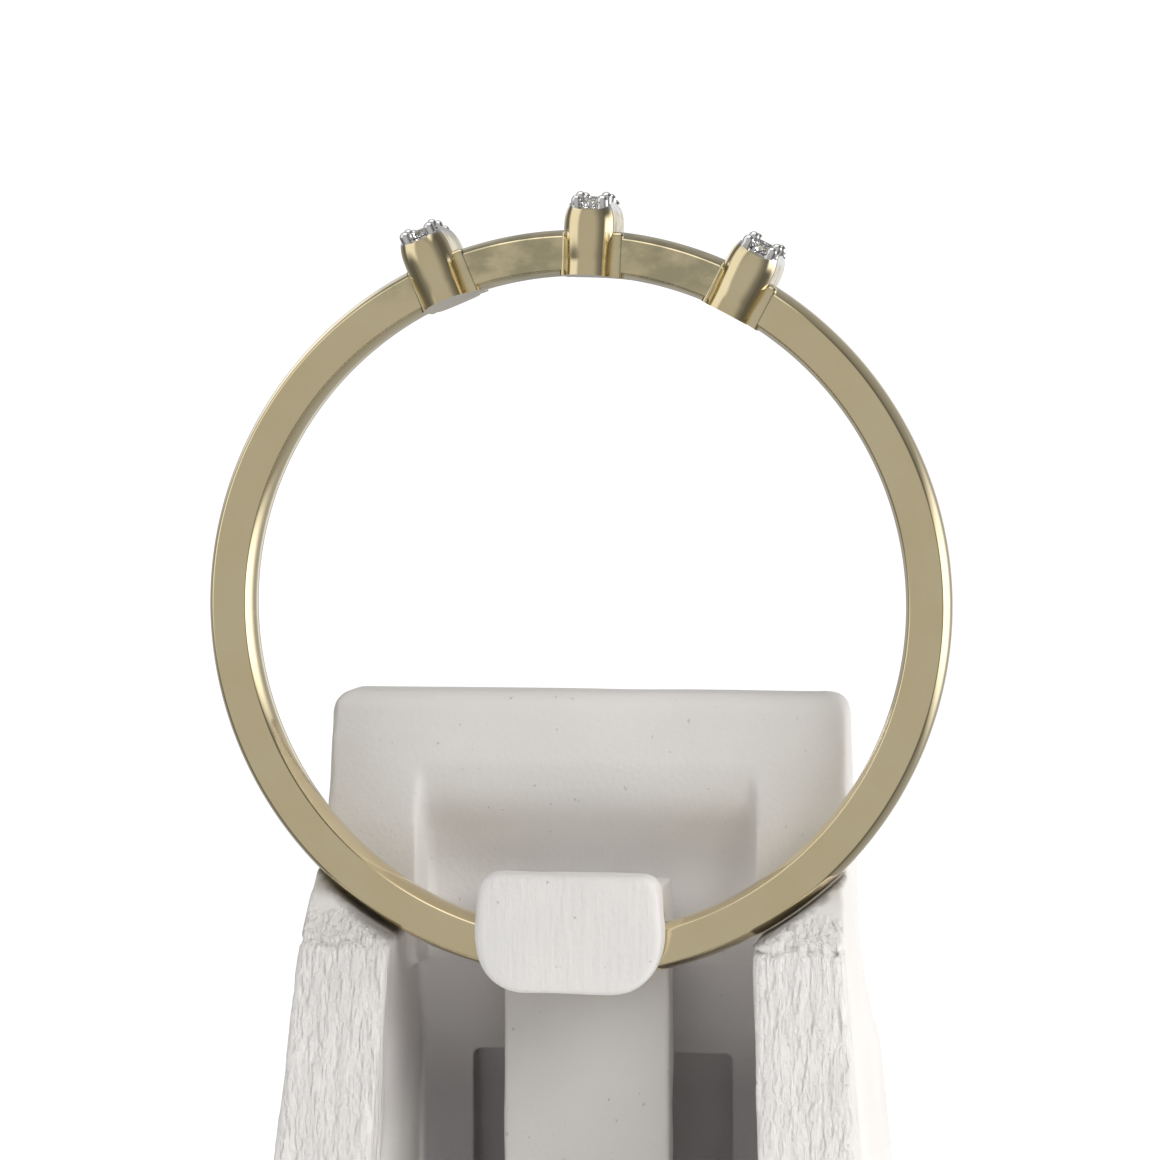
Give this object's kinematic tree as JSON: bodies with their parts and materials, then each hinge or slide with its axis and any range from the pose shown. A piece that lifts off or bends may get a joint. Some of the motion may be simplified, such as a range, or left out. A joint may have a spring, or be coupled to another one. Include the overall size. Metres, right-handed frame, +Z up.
{
  "type": "diamond ring on a display stand",
  "caption": "Slim gold ring with raised diamond stations across the band, held upright in a small white spring-clip display stand.",
  "frame": {"origin": "middle of the stand's flat foot, on the surface it stands on", "axes": "+Z up, the ring's axis along Y with the front at -Y, +X to the right seen from the front"},
  "size_m": [0.0198, 0.0138, 0.034],
  "materials": {
    "yellow_gold": "polished pale yellow gold, whitened on the stone settings",
    "diamond": "polished brilliant-cut stone",
    "stand_paint": "brushed matte white paint over moulded plastic",
    "tongue_paint": "smooth matte white paint"
  },
  "bodies": {
    "root": {"ring_metal": "yellow_gold", "stand_body": "stand_paint", "spring_tongue": "tongue_paint", "stone_left_1": "diamond", "stone_left_2": "diamond", "stone_left_3": "diamond", "stone_centre_1": "diamond", "stone_centre_2": "diamond", "stone_centre_3": "diamond", "stone_right_1": "diamond", "stone_right_2": "diamond", "stone_right_3": "diamond"}
  },
  "joints": []
}
